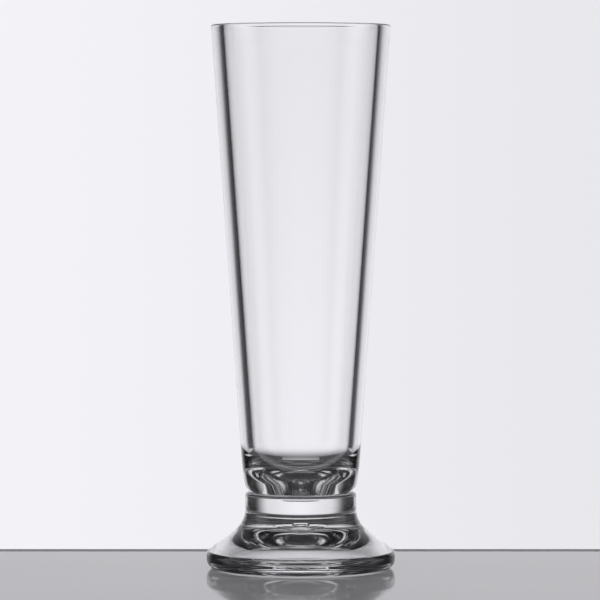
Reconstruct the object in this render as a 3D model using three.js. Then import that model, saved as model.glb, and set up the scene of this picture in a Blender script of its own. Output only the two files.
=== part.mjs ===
// Dessert shot glass in clear moulded plastic: a tall tapered cup whose plug is bonded into a flared foot.
// Millimetres, +Z up. The origin is on the axis, on the plane that the foot rests on.
import * as THREE from "three";

const { degToRad } = THREE.MathUtils;

// Cup: tapered wall, flat rim with eased edges, and a cavity that rounds into a blunt cone
const HEIGHT = 133;
const RIM_RADIUS = 22;
const TAPER = degToRad(4);
const WALL = 3;
const RIM_ROUND = 0.5;
const BOWL_RADIUS = 11.3;
const BOWL_SLOPE = degToRad(34.2);
const BOWL_FLOOR_RADIUS = 2.4;
const BOWL_FLOOR_RISE = 0.35;

// Heel of the cup: the wall eases in, turns under and ends in a narrow chamfer at the groove
const GROOVE_HEIGHT = 18.7;
const EASE_RISE = 9.5;
const EASE_TURN = degToRad(4.5);
const HEEL_RADIUS = 6;
const HEEL_TURN = degToRad(24.5);
const CHAMFER_RISE = 0.2;

// Conical plug under the cup's shoulder, and the socket in the collar that takes it
const SHOULDER_WIDTH = 2.6;
const PLUG_SLOPE = degToRad(16);
const PLUG_END_RADIUS = 3;
const SOCKET_CLEARANCE = 0.3;

// Clear bond between the cup's shoulder and the top of the collar
const BOND_THICKNESS = 0.2;
const BOND_MARGIN = 0.3;

// Outside of the foot: collar, flared skirt and resting rim
const COLLAR_ROUND = 1.03;
const COLLAR_TURN = degToRad(75);
const FLARE_RADIUS = 6.5;
const SKIRT_ANGLE = degToRad(37.5);
const FOOT_RADIUS = 23.15;
const FOOT_CORNER_ROUND = 1.3;
const FOOT_CORNER_HEIGHT = 3.2;
const FOOT_EDGE_ROUND = 2.2;
const FOOT_EDGE_UNDERCUT = degToRad(66);

// Hollow under the foot, with the round mark of the mould's insert and the crater left by the gate
const LAND_WIDTH = 0.75;
const HOLLOW_BEVEL_WIDTH = 2.8;
const HOLLOW_BEVEL_HEIGHT = 2.05;
const HOLLOW_TOP_HEIGHT = 7.9;
const HOLLOW_POWER = 2.1;
const INSERT_RADIUS = 4.5;
const INSERT_STEP = 0.4;
const INSERT_DRAFT = 0.4;
const GATE_RADIUS = 1.5;
const GATE_DEPTH = 0.8;
const GATE_DRAFT = 0.3;

// Facets
const SEGMENTS = 72;
const ROUND_STEPS = 3;
const BOWL_STEPS = 8;
const INSERT_STEPS = 2;
const HOLLOW_STEPS = 7;

const clearPlastic = new THREE.MeshStandardMaterial({
  color: 0xf4f5f8,
  roughness: 0.03,
  metalness: 0,
  transparent: true,
  opacity: 0.3,
});

const clearBond = new THREE.MeshStandardMaterial({
  color: 0xeef0f2,
  roughness: 0.12,
  metalness: 0,
  transparent: true,
  opacity: 0.4,
});

const outerRadius = (height) => RIM_RADIUS - (HEIGHT - height) * Math.tan(TAPER);
const cavityRadius = (height) => outerRadius(height) - WALL;

const point = (radius, height) => new THREE.Vector2(radius, height);

// Point at an angle on a round; angles are taken from the radial direction, upwards.
const onRound = (centre, radius, angle) =>
  point(centre.x + radius * Math.cos(angle), centre.y + radius * Math.sin(angle));

// Points along a round, from one angle to the other.
const round = (centre, radius, from, to, steps = ROUND_STEPS) =>
  Array.from({ length: steps + 1 }, (_, i) => onRound(centre, radius, from + ((to - from) * i) / steps));

// Heel, groove and plug, which the cup, the bond and the foot share
const easeTopHeight = GROOVE_HEIGHT + EASE_RISE;
const heelTopTurn = TAPER + EASE_TURN;
const heelTurn = heelTopTurn + HEEL_TURN;
const heelDrop = HEEL_RADIUS * (Math.sin(heelTurn) - Math.sin(heelTopTurn));
const heelTopHeight = GROOVE_HEIGHT + CHAMFER_RISE + heelDrop;
const easeRadius = (easeTopHeight - heelTopHeight) / (Math.sin(heelTopTurn) - Math.sin(TAPER));
const easeCentre = onRound(point(outerRadius(easeTopHeight), easeTopHeight), -easeRadius, -TAPER);
const heelCentre = onRound(easeCentre, easeRadius - HEEL_RADIUS, -heelTopTurn);
const grooveRadius = onRound(heelCentre, HEEL_RADIUS, -heelTurn).x - CHAMFER_RISE * Math.tan(heelTurn);
const collarTopHeight = GROOVE_HEIGHT - BOND_THICKNESS;
const plugRadius = grooveRadius - SHOULDER_WIDTH;
const plugEndHeight = GROOVE_HEIGHT - (plugRadius - PLUG_END_RADIUS) * Math.tan(PLUG_SLOPE);
const socketDrop = SOCKET_CLEARANCE / Math.cos(PLUG_SLOPE);
const socketRadius = plugRadius + (socketDrop - BOND_THICKNESS) / Math.tan(PLUG_SLOPE);

// Solid of revolution from an outline of radius and height that runs from the bottom up the outside.
function revolve(name, outline, material) {
  const geometry = new THREE.LatheGeometry(outline, SEGMENTS);
  geometry.rotateX(Math.PI / 2);
  const mesh = new THREE.Mesh(geometry, material);
  mesh.name = name;
  return mesh;
}

// Cup: plug, shoulder, chamfer, heel, tapered wall and rim.
// The cavity's round is tangent both to its wall and to its cone.
function makeCup() {
  const edgeHeight = HEIGHT - RIM_ROUND;
  const floorHeight = GROOVE_HEIGHT + BOWL_FLOOR_RISE;
  const bowlTurn = Math.PI / 2 - BOWL_SLOPE;
  const bowlReach = cavityRadius(0) - BOWL_RADIUS / Math.cos(TAPER);
  const coneReach = bowlReach + BOWL_RADIUS * Math.cos(bowlTurn) - BOWL_FLOOR_RADIUS;
  const coneBase = floorHeight + BOWL_RADIUS * Math.sin(bowlTurn) + coneReach * Math.tan(BOWL_SLOPE);
  const bowlHeight = coneBase / (1 - Math.tan(TAPER) * Math.tan(BOWL_SLOPE));
  const bowlCentre = point(bowlReach + bowlHeight * Math.tan(TAPER), bowlHeight);
  return revolve("cup", [
    point(0, plugEndHeight),
    point(PLUG_END_RADIUS, plugEndHeight),
    point(plugRadius, GROOVE_HEIGHT),
    point(grooveRadius, GROOVE_HEIGHT),
    ...round(heelCentre, HEEL_RADIUS, -heelTurn, -heelTopTurn),
    ...round(easeCentre, easeRadius, -heelTopTurn, -TAPER).slice(1),
    ...round(point(outerRadius(edgeHeight) - RIM_ROUND, edgeHeight), RIM_ROUND, 0, Math.PI / 2),
    ...round(point(cavityRadius(edgeHeight) + RIM_ROUND, edgeHeight), RIM_ROUND, Math.PI / 2, Math.PI),
    ...round(bowlCentre, BOWL_RADIUS, -TAPER, -bowlTurn, BOWL_STEPS),
    point(BOWL_FLOOR_RADIUS, floorHeight),
    point(0, floorHeight),
  ], clearPlastic);
}

// Ring of clear bond between the cup's shoulder and the collar, short of the socket and of the groove.
function makeBondRing() {
  const inner = socketRadius + BOND_MARGIN;
  const outer = grooveRadius - BOND_MARGIN;
  return revolve("bond_ring", [
    point(inner, collarTopHeight),
    point(outer, collarTopHeight),
    point(outer, GROOVE_HEIGHT),
    point(inner, GROOVE_HEIGHT),
    point(inner, collarTopHeight),
  ], clearBond);
}

// Foot: hollow with its insert mark and gate crater, resting rim, flared skirt, collar and the plug's socket.
function makeFoot() {
  const edgeCentre = point(FOOT_RADIUS - FOOT_EDGE_ROUND, FOOT_EDGE_ROUND * Math.sin(FOOT_EDGE_UNDERCUT));
  const restRadius = onRound(edgeCentre, FOOT_EDGE_ROUND, -FOOT_EDGE_UNDERCUT).x;
  const landRadius = restRadius - LAND_WIDTH;
  const hollowRadius = landRadius - HOLLOW_BEVEL_WIDTH;
  const hollowRise = HOLLOW_TOP_HEIGHT - HOLLOW_BEVEL_HEIGHT;
  const hollowHeight = (radius) => HOLLOW_TOP_HEIGHT - hollowRise * (radius / hollowRadius) ** HOLLOW_POWER;
  const dome = (from, to, lift, steps) => Array.from({ length: steps + 1 }, (_, i) => {
    const radius = from + ((to - from) * i) / steps;
    return point(radius, hollowHeight(radius) + lift);
  });
  const gateTopHeight = hollowHeight(GATE_RADIUS) + INSERT_STEP + GATE_DEPTH;

  const collarRadius = grooveRadius + COLLAR_ROUND * (1 - Math.cos(COLLAR_TURN));
  const collarDrop = COLLAR_ROUND * Math.sin(COLLAR_TURN);
  const collarCentre = point(collarRadius - COLLAR_ROUND, collarTopHeight - collarDrop);
  const skirtTurn = Math.PI / 2 - SKIRT_ANGLE;
  const cornerCentre = point(FOOT_RADIUS - FOOT_CORNER_ROUND, FOOT_CORNER_HEIGHT);
  const skirtFoot = onRound(cornerCentre, FOOT_CORNER_ROUND, skirtTurn);
  const skirtTopRadius = collarRadius + FLARE_RADIUS * (1 - Math.cos(skirtTurn));
  const skirtTopHeight = skirtFoot.y + (skirtFoot.x - skirtTopRadius) * Math.tan(SKIRT_ANGLE);
  const flareCentre = point(collarRadius + FLARE_RADIUS, skirtTopHeight + FLARE_RADIUS * Math.sin(skirtTurn));
  const socketFloorRadius = PLUG_END_RADIUS + (socketDrop - SOCKET_CLEARANCE) / Math.tan(PLUG_SLOPE);
  return revolve("foot", [
    point(0, gateTopHeight),
    point(GATE_RADIUS - GATE_DRAFT, gateTopHeight),
    ...dome(GATE_RADIUS, INSERT_RADIUS - INSERT_DRAFT, INSERT_STEP, INSERT_STEPS),
    ...dome(INSERT_RADIUS, hollowRadius, 0, HOLLOW_STEPS),
    point(landRadius, 0),
    ...round(edgeCentre, FOOT_EDGE_ROUND, -FOOT_EDGE_UNDERCUT, 0),
    ...round(cornerCentre, FOOT_CORNER_ROUND, 0, skirtTurn),
    ...round(flareCentre, FLARE_RADIUS, Math.PI + skirtTurn, Math.PI),
    ...round(collarCentre, COLLAR_ROUND, 0, COLLAR_TURN),
    point(socketRadius, collarTopHeight),
    point(socketFloorRadius, plugEndHeight - SOCKET_CLEARANCE),
    point(0, plugEndHeight - SOCKET_CLEARANCE),
  ], clearPlastic);
}

const glass = new THREE.Group();
glass.add(makeCup(), makeBondRing(), makeFoot());
export default glass;
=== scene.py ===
"""Dessert shot glass in clear moulded plastic: a tall tapered cup bonded into a short flared foot.

Metres, +Z up, origin on the axis on the plane that the foot rests on. Sections follow the order of assembly.
"""

import bpy
import numpy as np
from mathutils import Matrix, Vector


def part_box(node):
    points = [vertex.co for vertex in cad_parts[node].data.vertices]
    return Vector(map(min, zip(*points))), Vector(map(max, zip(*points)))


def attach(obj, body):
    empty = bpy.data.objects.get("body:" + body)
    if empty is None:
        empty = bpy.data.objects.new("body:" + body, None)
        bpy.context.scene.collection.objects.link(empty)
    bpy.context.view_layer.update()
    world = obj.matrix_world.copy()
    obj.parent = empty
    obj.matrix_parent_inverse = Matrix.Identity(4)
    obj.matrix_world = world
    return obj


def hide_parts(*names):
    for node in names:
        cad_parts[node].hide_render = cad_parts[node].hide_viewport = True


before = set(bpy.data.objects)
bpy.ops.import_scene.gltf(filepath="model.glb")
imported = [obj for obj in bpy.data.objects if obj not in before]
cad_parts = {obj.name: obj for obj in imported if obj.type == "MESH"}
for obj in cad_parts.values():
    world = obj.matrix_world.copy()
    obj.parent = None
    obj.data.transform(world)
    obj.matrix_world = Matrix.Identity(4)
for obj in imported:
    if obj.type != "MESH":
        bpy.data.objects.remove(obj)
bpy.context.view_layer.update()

# Cup
# Tall tapered cup with a flat eased rim, a cavity that rounds into a blunt cone, and a shallow conical plug.
# Clear plastic, injection moulded in one shot. Below the eased heel a chamfer runs in to the groove.
# The plug sits in the collar of the foot, and clear bond wets the shoulder and the plug all over.
CUP_LOW, CUP_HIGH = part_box("cup")
BOND_LOW, BOND_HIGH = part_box("bond_ring")
TAPER = np.radians(4.0)
WALL = 3.0e-3
RIM_ROUND = 0.5e-3
RIM_HEIGHT = CUP_HIGH.z
EDGE_HEIGHT = RIM_HEIGHT - RIM_ROUND
BOWL_ROUND = 11.3e-3
BOWL_SLOPE = np.radians(34.2)
BOWL_FLOOR_RADIUS = 2.4e-3
BOWL_FLOOR_RISE = 0.35e-3
GROOVE_HEIGHT = BOND_HIGH.z
EASE_RISE = 9.5e-3
EASE_TURN = np.radians(4.5)
HEEL_ROUND = 6.0e-3
HEEL_TURN = np.radians(24.5)
CHAMFER_RISE = 0.2e-3
SHOULDER_WIDTH = 2.6e-3
PLUG_END_RADIUS = 3.0e-3
PLUG_END_HEIGHT = CUP_LOW.z
TURNS = 240
ON_AXIS = 1e-9
WALL_STEPS = 25
BOWL_STEPS = 49
SHARP_EDGE = np.radians(28)
PLASTIC_IOR = 1.565
PLASTIC_TINT = (0.985, 0.987, 0.995)
PLASTIC_DULLNESS = 0.02
CUP_CLARITY = 1.0
CLOUD_SCALE = 60.0
CLOUD_DETAIL = 4.0
DULL_FROM = 0.55
DULL_FULL = 0.8


def straight(start, end, count=9):
    """Points from start to end, closer together near both ends: the step follows half a cosine wave."""
    along = 0.5 - 0.5 * np.cos(np.linspace(0, np.pi, count))
    return np.array(start) + along[:, None] * (np.array(end) - np.array(start))


def on_round(centre, radius, angle):
    """Point at an angle on a circle: centre plus radius times its cosine outwards and its sine upwards."""
    return np.array(centre) + radius * np.stack([np.cos(angle), np.sin(angle)], axis=-1)


def rounded(centre, radius, start, end, count=17):
    """Points on a circle at an even run of angles, from start to end."""
    return on_round(centre, radius, np.linspace(start, end, count))


def turned(name, outline):
    """Solid of revolution: turn u and outline step v give (radius(v) cos u, radius(v) sin u, height(v)).
    Points on the axis are shared by all turns, and triangles that shrink to nothing there are left out."""
    radius, height = outline.T
    turn = np.linspace(0, 2 * np.pi, TURNS, endpoint=False)
    grid = np.stack(
        [
            np.cos(turn)[:, None] * radius,
            np.sin(turn)[:, None] * radius,
            np.broadcast_to(height, (TURNS, len(height))),
        ],
        axis=-1,
    )
    index = np.arange(TURNS * len(radius)).reshape(TURNS, -1)
    index[:, radius < ON_AXIS] = index[:1, radius < ON_AXIS]
    after = np.roll(index, -1, axis=0)
    low, right, top, left = index[:, :-1], after[:, :-1], after[:, 1:], index[:, 1:]
    faces = np.concatenate([np.stack([low, right, top], -1), np.stack([low, top, left], -1)]).reshape(-1, 3)
    a, b, c = faces.T
    faces = faces[(a != b) & (b != c) & (c != a)]
    used, faces = np.unique(faces, return_inverse=True)
    mesh = bpy.data.meshes.new(name)
    mesh.from_pydata(grid.reshape(-1, 3)[used], [], faces.reshape(-1, 3))
    mesh.validate()
    mesh.shade_smooth()
    mesh.set_sharp_from_angle(angle=SHARP_EDGE)
    piece = bpy.data.objects.new(name, mesh)
    bpy.context.scene.collection.objects.link(piece)
    return piece


def outer_radius(height):
    """Radius of the cup's tapered outside: the rim's, less the drop below it times the taper's tangent."""
    return CUP_HIGH.x - (EDGE_HEIGHT - height) * np.tan(TAPER)


def clear_plastic(name, tint, roughness, clarity):
    """Clear plastic with the moulding's faint clouding and dull spots, both from noise on Object coordinates.
    Clarity is the share of light that passes clean through; handling scatters the rest at the surface."""
    material = bpy.data.materials.new(name)
    material.use_nodes = True
    nodes, links = material.node_tree.nodes, material.node_tree.links
    shader = nodes["Principled BSDF"]
    shader.inputs["Transmission Weight"].default_value = clarity
    shader.inputs["IOR"].default_value = PLASTIC_IOR
    place = nodes.new("ShaderNodeTexCoord")
    cloud = nodes.new("ShaderNodeTexNoise")
    cloud.inputs["Scale"].default_value = CLOUD_SCALE
    cloud.inputs["Detail"].default_value = CLOUD_DETAIL
    links.new(place.outputs["Object"], cloud.inputs["Vector"])
    colour = nodes.new("ShaderNodeMix")
    colour.data_type = "RGBA"
    colour.inputs[6].default_value = (*tint, 1.0)
    colour.inputs[7].default_value = (1.0, 1.0, 1.0, 1.0)
    links.new(cloud.outputs["Fac"], colour.inputs[0])
    links.new(colour.outputs[2], shader.inputs["Base Color"])
    polish = nodes.new("ShaderNodeMapRange")
    polish.inputs["From Min"].default_value = DULL_FROM
    polish.inputs["From Max"].default_value = DULL_FULL
    polish.inputs["To Min"].default_value = 0.0
    polish.inputs["To Max"].default_value = roughness
    links.new(cloud.outputs["Fac"], polish.inputs["Value"])
    links.new(polish.outputs["Result"], shader.inputs["Roughness"])
    return material


ease_top = GROOVE_HEIGHT + EASE_RISE
wall_foot = (outer_radius(ease_top), ease_top)
heel_top_turn = TAPER + EASE_TURN
heel_turn = heel_top_turn + HEEL_TURN
heel_top = GROOVE_HEIGHT + CHAMFER_RISE + HEEL_ROUND * (np.sin(heel_turn) - np.sin(heel_top_turn))
ease_round = (ease_top - heel_top) / (np.sin(heel_top_turn) - np.sin(TAPER))
ease_centre = on_round(wall_foot, -ease_round, -TAPER)
heel_centre = on_round(ease_centre, ease_round - HEEL_ROUND, -heel_top_turn)
chamfer_top = on_round(heel_centre, HEEL_ROUND, -heel_turn)
groove_radius = chamfer_top[0] - CHAMFER_RISE * np.tan(heel_turn)
plug_radius = groove_radius - SHOULDER_WIDTH
plug_slope = np.arctan2(GROOVE_HEIGHT - PLUG_END_HEIGHT, plug_radius - PLUG_END_RADIUS)

bowl_turn = np.pi / 2 - BOWL_SLOPE
bowl_floor = GROOVE_HEIGHT + BOWL_FLOOR_RISE
bowl_reach = outer_radius(0) - WALL - BOWL_ROUND / np.cos(TAPER)
cone_reach = bowl_reach + BOWL_ROUND * np.cos(bowl_turn) - BOWL_FLOOR_RADIUS
bowl_height = bowl_floor + BOWL_ROUND * np.sin(bowl_turn) + cone_reach * np.tan(BOWL_SLOPE)
bowl_height /= 1 - np.tan(TAPER) * np.tan(BOWL_SLOPE)
bowl_centre = np.array([bowl_reach + bowl_height * np.tan(TAPER), bowl_height])
bowl_top = on_round(bowl_centre, BOWL_ROUND, -TAPER)
bowl_end = on_round(bowl_centre, BOWL_ROUND, -bowl_turn)
nose_round = BOWL_FLOOR_RADIUS / np.sin(BOWL_SLOPE)
nose_centre = np.array([0, bowl_floor + nose_round * np.cos(BOWL_SLOPE)])
wall_top = (outer_radius(EDGE_HEIGHT), EDGE_HEIGHT)
rim_outer = np.array([outer_radius(EDGE_HEIGHT) - RIM_ROUND, EDGE_HEIGHT])
rim_inner = np.array([outer_radius(EDGE_HEIGHT) - WALL + RIM_ROUND, EDGE_HEIGHT])
cup_outline = np.concatenate(
    [
        straight((0, PLUG_END_HEIGHT), (PLUG_END_RADIUS, PLUG_END_HEIGHT)),
        straight((PLUG_END_RADIUS, PLUG_END_HEIGHT), (plug_radius, GROOVE_HEIGHT))[1:],
        straight((plug_radius, GROOVE_HEIGHT), (groove_radius, GROOVE_HEIGHT))[1:],
        straight((groove_radius, GROOVE_HEIGHT), chamfer_top)[1:],
        rounded(heel_centre, HEEL_ROUND, -heel_turn, -heel_top_turn)[1:],
        rounded(ease_centre, ease_round, -heel_top_turn, -TAPER)[1:],
        straight(wall_foot, wall_top, WALL_STEPS)[1:],
        rounded(rim_outer, RIM_ROUND, 0, np.pi / 2)[1:],
        rounded(rim_inner, RIM_ROUND, np.pi / 2, np.pi),
        straight((outer_radius(EDGE_HEIGHT) - WALL, EDGE_HEIGHT), bowl_top, WALL_STEPS)[1:],
        rounded(bowl_centre, BOWL_ROUND, -TAPER, -bowl_turn, BOWL_STEPS)[1:],
        straight(bowl_end, (BOWL_FLOOR_RADIUS, bowl_floor))[1:],
        rounded(nose_centre, nose_round, -bowl_turn, -np.pi / 2)[1:],
    ]
)
cup = turned("cup_clear", cup_outline)
cup.data.materials.append(clear_plastic("cup_clear_plastic", PLASTIC_TINT, PLASTIC_DULLNESS, CUP_CLARITY))
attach(cup, "root")
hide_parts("cup")

# Bond ring
# Flat ring of clear bond between the cup's shoulder and the top of the collar, from the plug to the groove.
# It goes on as a liquid that wets both faces, so it sits a hair's breadth into each, and it sets clear.
BOND_WET = 0.01e-3
BOND_MARGIN = 0.05e-3
BOND_STEPS = 3
BOND_TINT = (0.98, 0.985, 0.98)
BOND_DULLNESS = 0.03
BOND_CLARITY = 1.0
bond_base, bond_crest = BOND_LOW.z - BOND_WET, BOND_HIGH.z + BOND_WET
bond_outer = groove_radius - BOND_MARGIN
bond_foot = plug_radius - (BOND_HIGH.z - BOND_LOW.z) / np.tan(plug_slope) - BOND_WET
bond_outline = np.concatenate(
    [
        straight((bond_foot, bond_base), (bond_outer, bond_base)),
        straight((bond_outer, bond_base), (bond_outer, bond_crest), BOND_STEPS)[1:],
        straight((bond_outer, bond_crest), (plug_radius - BOND_WET, bond_crest))[1:],
        straight((plug_radius - BOND_WET, bond_crest), (bond_foot, bond_base), BOND_STEPS)[1:],
    ]
)
bond = turned("bond_ring_clear", bond_outline)
bond.data.materials.append(clear_plastic("bond_clear_set", BOND_TINT, BOND_DULLNESS, BOND_CLARITY))
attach(bond, "root")
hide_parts("bond_ring")

# Foot
# Collar with a shallow coned socket on top, flared skirt and round resting rim in one piece.
# Clear plastic, injection moulded, with a domed hollow underneath and a gate crater at the top of the hollow.
FOOT_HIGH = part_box("foot")[1]
COLLAR_TOP = FOOT_HIGH.z
COLLAR_ROUND = 1.03e-3
COLLAR_TURN = np.radians(75)
FLARE_ROUND = 6.5e-3
SKIRT_SLOPE = np.radians(37.5)
CORNER_ROUND = 1.3e-3
CORNER_HEIGHT = 3.2e-3
EDGE_ROUND = 2.2e-3
EDGE_UNDERCUT = np.radians(66)
LAND_WIDTH = 0.75e-3
BEVEL_WIDTH = 2.8e-3
BEVEL_RISE = 2.05e-3
HOLLOW_TOP = 7.9e-3
HOLLOW_POWER = 2.1
INSERT_RADIUS = 4.5e-3
INSERT_STEP = 0.4e-3
INSERT_DRAFT = 0.4e-3
RING_RADIUS = 3.2e-3
RING_STEP = 0.2e-3
RING_DRAFT = 0.2e-3
GATE_RADIUS = 1.5e-3
GATE_RISE = 0.8e-3
GATE_DRAFT = 0.3e-3
FACE_STEPS = 17
DOME_STEPS = 65
EDGE_STEPS = 25
FLARE_STEPS = 33
FOOT_CLARITY = 0.97

edge_centre = np.array([FOOT_HIGH.x - EDGE_ROUND, EDGE_ROUND * np.sin(EDGE_UNDERCUT)])
land_radius = on_round(edge_centre, EDGE_ROUND, -EDGE_UNDERCUT)[0] - LAND_WIDTH
hollow_radius = land_radius - BEVEL_WIDTH


def hollow_dome(radius, step):
    """Points on the domed hollow: its top, plus a step, less its depth times a power of the radius,
    taken as a share of the radius of the whole hollow."""
    fall = (HOLLOW_TOP - BEVEL_RISE) * (radius / hollow_radius) ** HOLLOW_POWER
    return np.stack([radius, HOLLOW_TOP + step - fall], axis=-1)


ring_radii = np.linspace(GATE_RADIUS, RING_RADIUS - RING_DRAFT, FACE_STEPS)
ring_face = hollow_dome(ring_radii, INSERT_STEP + RING_STEP)
insert_radii = np.linspace(RING_RADIUS, INSERT_RADIUS - INSERT_DRAFT, FACE_STEPS)
insert_face = hollow_dome(insert_radii, INSERT_STEP)
dome_face = hollow_dome(np.linspace(INSERT_RADIUS, hollow_radius, DOME_STEPS), 0)
gate_top = ring_face[0, 1] + GATE_RISE

collar_radius = groove_radius + COLLAR_ROUND * (1 - np.cos(COLLAR_TURN))
collar_centre = np.array([collar_radius - COLLAR_ROUND, COLLAR_TOP - COLLAR_ROUND * np.sin(COLLAR_TURN)])
skirt_turn = np.pi / 2 - SKIRT_SLOPE
corner_centre = np.array([FOOT_HIGH.x - CORNER_ROUND, CORNER_HEIGHT])
skirt_foot = on_round(corner_centre, CORNER_ROUND, skirt_turn)
skirt_top_radius = collar_radius + FLARE_ROUND * (1 - np.cos(skirt_turn))
skirt_top = skirt_foot[1] + (skirt_foot[0] - skirt_top_radius) * np.tan(SKIRT_SLOPE)
flare_centre = np.array([collar_radius + FLARE_ROUND, skirt_top + FLARE_ROUND * np.sin(skirt_turn)])
socket_floor = PLUG_END_HEIGHT + BOND_WET
socket_radius = plug_radius - (GROOVE_HEIGHT + BOND_WET - COLLAR_TOP) / np.tan(plug_slope)
foot_outline = np.concatenate(
    [
        straight((0, gate_top), (GATE_RADIUS - GATE_DRAFT, gate_top)),
        straight((GATE_RADIUS - GATE_DRAFT, gate_top), ring_face[0])[1:],
        ring_face[1:],
        straight(ring_face[-1], insert_face[0])[1:],
        insert_face[1:],
        straight(insert_face[-1], dome_face[0])[1:],
        dome_face[1:],
        straight(dome_face[-1], (land_radius, 0))[1:],
        straight((land_radius, 0), (land_radius + LAND_WIDTH, 0))[1:],
        rounded(edge_centre, EDGE_ROUND, -EDGE_UNDERCUT, 0, EDGE_STEPS)[1:],
        straight((FOOT_HIGH.x, edge_centre[1]), (FOOT_HIGH.x, CORNER_HEIGHT))[1:],
        rounded(corner_centre, CORNER_ROUND, 0, skirt_turn)[1:],
        straight(skirt_foot, (skirt_top_radius, skirt_top))[1:],
        rounded(flare_centre, FLARE_ROUND, np.pi + skirt_turn, np.pi, FLARE_STEPS)[1:],
        straight((collar_radius, flare_centre[1]), (collar_radius, collar_centre[1]))[1:],
        rounded(collar_centre, COLLAR_ROUND, 0, COLLAR_TURN)[1:],
        straight((groove_radius, COLLAR_TOP), (socket_radius, COLLAR_TOP))[1:],
        straight((socket_radius, COLLAR_TOP), (PLUG_END_RADIUS, socket_floor))[1:],
        straight((PLUG_END_RADIUS, socket_floor), (0, socket_floor))[1:],
    ]
)
foot = turned("foot_clear", foot_outline)
foot.data.materials.append(clear_plastic("foot_clear_plastic", PLASTIC_TINT, PLASTIC_DULLNESS, FOOT_CLARITY))
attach(foot, "root")
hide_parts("foot")

# Floor
# Pale glossy sheet, a hair's breadth under the foot, so that a bright line shows between the two.
# Its far edge, close behind the foot, is ground matt in a narrow band.
# Close to the foot its colour is darkened into a painted shade, which the glass meets but the camera does
# not.
FLOOR_EDGE = 42.8e-3
FLOOR_REACH = 3.0
FLOOR_DROP = 0.25e-3
GROUND_BAND = 5.8e-3
# Painted shade: up to the inner distance from the axis the sheet has the shade colour and no glow, fading to
# its own colour and glow by the outer distance.
PAINTED_SHADE_INNER = 40e-3
PAINTED_SHADE_OUTER = 85e-3
PAINTED_SHADE_COLOUR = (0.42, 0.42, 0.44)
SHEET_COLOUR = (0.8, 0.8, 0.82)
SHEET_ROUGHNESS = 0.06
SHEET_GLOSS = 0.07
SHEET_GLOW = 0.09
GROUND_COLOUR = (0.95, 0.95, 0.97)
GROUND_ROUGHNESS = 0.6
GROUND_GLOSS = 0.45
GROUND_GLOW = 0.02
floor_sides = np.array([-FLOOR_REACH, FLOOR_REACH])
floor_lines = np.array([-FLOOR_REACH, FLOOR_EDGE - GROUND_BAND, FLOOR_EDGE])
floor_grid = np.stack(np.meshgrid(floor_sides, floor_lines, [-FLOOR_DROP]), axis=-1).reshape(-1, 3)
floor_mesh = bpy.data.meshes.new("floor_sheet")
floor_mesh.from_pydata(floor_grid, [], [(0, 1, 3, 2), (2, 3, 5, 4)])
floor_mesh.polygons.foreach_set("material_index", [0, 1])


def sheet_finish(name, colour, roughness, gloss, glow):
    """One finish of the floor sheet. Close to the foot the glass meets a painted shade, a darker colour with
    no glow, fading with the distance from the axis to the full colour and its pale glow; the camera sees the
    full colour everywhere."""
    material = bpy.data.materials.new(name)
    material.use_nodes = True
    nodes, links = material.node_tree.nodes, material.node_tree.links
    shader = nodes["Principled BSDF"]
    shader.inputs["Roughness"].default_value = roughness
    shader.inputs["Specular IOR Level"].default_value = gloss
    distance = nodes.new("ShaderNodeVectorMath")
    distance.operation = "LENGTH"
    links.new(nodes.new("ShaderNodeTexCoord").outputs["Object"], distance.inputs[0])
    # Mask of the painted shade: 0 near the foot, 1 clear of it; camera rays always get 1.
    clear_of_painted_shade = nodes.new("ShaderNodeMapRange")
    clear_of_painted_shade.interpolation_type = "SMOOTHSTEP"
    clear_of_painted_shade.inputs["From Min"].default_value = PAINTED_SHADE_INNER
    clear_of_painted_shade.inputs["From Max"].default_value = PAINTED_SHADE_OUTER
    links.new(distance.outputs["Value"], clear_of_painted_shade.inputs["Value"])
    free_of_painted_shade = nodes.new("ShaderNodeMath")
    free_of_painted_shade.operation = "MAXIMUM"
    links.new(clear_of_painted_shade.outputs["Result"], free_of_painted_shade.inputs[0])
    links.new(nodes.new("ShaderNodeLightPath").outputs["Is Camera Ray"], free_of_painted_shade.inputs[1])
    # Painted shade: the colour and the glow both follow the mask.
    tone = nodes.new("ShaderNodeMix")
    tone.data_type = "RGBA"
    tone.inputs[6].default_value = (*PAINTED_SHADE_COLOUR, 1.0)
    tone.inputs[7].default_value = (*colour, 1.0)
    links.new(free_of_painted_shade.outputs[0], tone.inputs[0])
    links.new(tone.outputs[2], shader.inputs["Base Color"])
    links.new(tone.outputs[2], shader.inputs["Emission Color"])
    light = nodes.new("ShaderNodeMath")
    light.operation = "MULTIPLY"
    light.inputs[1].default_value = glow
    links.new(free_of_painted_shade.outputs[0], light.inputs[0])
    links.new(light.outputs[0], shader.inputs["Emission Strength"])
    floor_mesh.materials.append(material)


sheet_finish("floor_gloss_sheet", SHEET_COLOUR, SHEET_ROUGHNESS, SHEET_GLOSS, SHEET_GLOW)
sheet_finish("floor_ground_edge", GROUND_COLOUR, GROUND_ROUGHNESS, GROUND_GLOSS, GROUND_GLOW)
floor = bpy.data.objects.new("floor_sheet", floor_mesh)
bpy.context.scene.collection.objects.link(floor)

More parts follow.
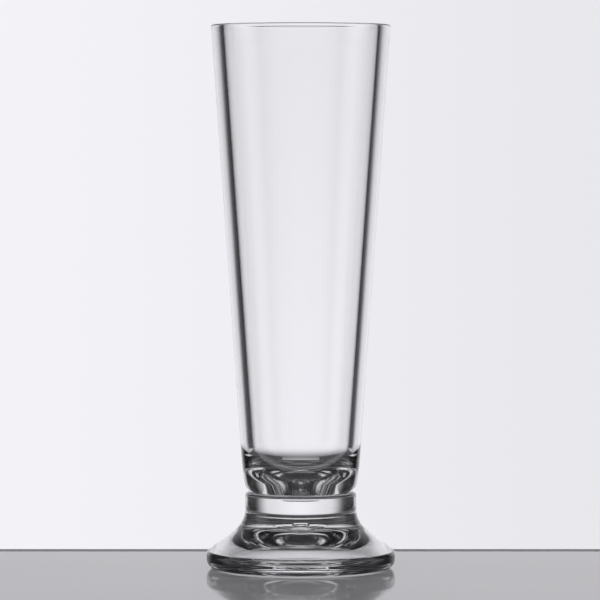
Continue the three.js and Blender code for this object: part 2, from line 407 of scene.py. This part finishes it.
# Studio light
# One broad soft panel behind the glass, narrow panels at its sides, a dimmer broad one in front and pale
# surroundings below, dark in between, so that clear edges draw as dark lines.
# The backdrop that the camera sees directly is plain and pale.
BACKDROP_LEFT = 0.935
BACKDROP_RIGHT = 0.84
BACKDROP_SPAN = (-5, 5)
BACK_PANEL = 1.0
BACK_PANEL_SIDES = 0.84
BACK_CENTRE = np.radians(1.5)
BACK_FALL = (0, 26)
BACK_EDGE = (24, 45)
SIDE_PANEL = 0.85
SIDE_EDGE = (8, 25)
FRONT_PANEL = 0.5
FRONT_EDGE = (115, 150)
PANEL_TOP = (8, 58)
PANEL_BOTTOM = (-44, -12)
PANEL_UPPER = 0.9
UPPER_EDGE = (-6, 2)
BELOW = 0.8
BELOW_TOP = (-26, -14)
BELOW_EDGE = (24, 36)
DARK = 0.025
STUDIO_TINT = (0.965, 0.957, 1.0, 1.0)
world = bpy.data.worlds.new("studio")
bpy.context.scene.world = world
world.use_nodes = True
studio = world.node_tree
studio.nodes.clear()


def reckon(operation, *terms):
    """One Math node of the studio light: the operation on numbers or on other nodes' results."""
    node = studio.nodes.new("ShaderNodeMath")
    node.operation = operation
    for socket, term in zip(node.inputs, terms):
        if isinstance(term, (int, float)):
            socket.default_value = term
        else:
            studio.links.new(term, socket)
    return node.outputs[0]


def fade(value, start, end, low=0.0, high=1.0):
    """Smooth step of an angle: low up to the start, in degrees, and high from the end."""
    node = studio.nodes.new("ShaderNodeMapRange")
    node.interpolation_type = "SMOOTHSTEP"
    studio.links.new(value, node.inputs["Value"])
    node.inputs["From Min"].default_value = np.radians(start)
    node.inputs["From Max"].default_value = np.radians(end)
    node.inputs["To Min"].default_value = low
    node.inputs["To Max"].default_value = high
    return node.outputs["Result"]


direction = studio.nodes.new("ShaderNodeSeparateXYZ")
studio.links.new(studio.nodes.new("ShaderNodeTexCoord").outputs["Generated"], direction.inputs[0])
azimuth = reckon("ARCTAN2", direction.outputs[0], direction.outputs[1])
elevation = reckon("ARCSINE", direction.outputs[2])
from_back = reckon("ABSOLUTE", reckon("SUBTRACT", azimuth, BACK_CENTRE))
from_side = reckon("ABSOLUTE", reckon("SUBTRACT", reckon("ABSOLUTE", azimuth), np.pi / 2))
back_fall = fade(from_back, *BACK_FALL, BACK_PANEL, BACK_PANEL_SIDES)
back_panel = reckon("MULTIPLY", back_fall, fade(from_back, *BACK_EDGE, 1.0, 0.0))
side_panel = fade(from_side, *SIDE_EDGE, SIDE_PANEL, 0.0)
front_panel = fade(from_back, *FRONT_EDGE, 0.0, FRONT_PANEL)
panels = reckon("MAXIMUM", reckon("MAXIMUM", back_panel, side_panel), front_panel)
in_height = reckon("MULTIPLY", fade(elevation, *PANEL_TOP, 1.0, 0.0), fade(elevation, *PANEL_BOTTOM))
in_height = reckon("MULTIPLY", in_height, fade(elevation, *UPPER_EDGE, 1.0, PANEL_UPPER))
below = reckon("MULTIPLY", fade(elevation, *BELOW_TOP, BELOW, 0.0), fade(from_back, *BELOW_EDGE))
lit = reckon("ADD", reckon("MAXIMUM", reckon("MULTIPLY", panels, in_height), below), DARK)
across = reckon("ARCSINE", direction.outputs[0])
backdrop = fade(across, *BACKDROP_SPAN, BACKDROP_LEFT, BACKDROP_RIGHT)
path = studio.nodes.new("ShaderNodeLightPath")
seen = studio.nodes.new("ShaderNodeMix")
studio.links.new(path.outputs["Is Camera Ray"], seen.inputs[0])
studio.links.new(lit, seen.inputs[2])
studio.links.new(backdrop, seen.inputs[3])
glow = studio.nodes.new("ShaderNodeBackground")
glow.inputs["Color"].default_value = STUDIO_TINT
studio.links.new(seen.outputs[0], glow.inputs["Strength"])
studio.links.new(glow.outputs[0], studio.nodes.new("ShaderNodeOutputWorld").inputs[0])

# Camera
# Long lens about a metre in front of the glass, a little below the height of its rim.
# It is tilted down to the middle of the glass, as in the photograph.
CAMERA_PLACE = np.array([-0.2e-3, -0.9848, 0.1094])
CAMERA_LENS = 241.3
SENSOR_WIDTH = 36.0
CLIP_START = 0.01
AIM_HEIGHT = 65.6e-3
camera_data = bpy.data.cameras.new("camera")
camera_data.lens = CAMERA_LENS
camera_data.sensor_width = SENSOR_WIDTH
camera_data.clip_start = CLIP_START
camera = bpy.data.objects.new("camera", camera_data)
camera.location = CAMERA_PLACE
camera_dip = np.arctan2(CAMERA_PLACE[2] - AIM_HEIGHT, -CAMERA_PLACE[1])
camera.rotation_euler = (np.pi / 2 - camera_dip, 0, 0)
bpy.context.scene.collection.objects.link(camera)
bpy.context.scene.camera = camera
bpy.context.scene.view_settings.view_transform = "Standard"
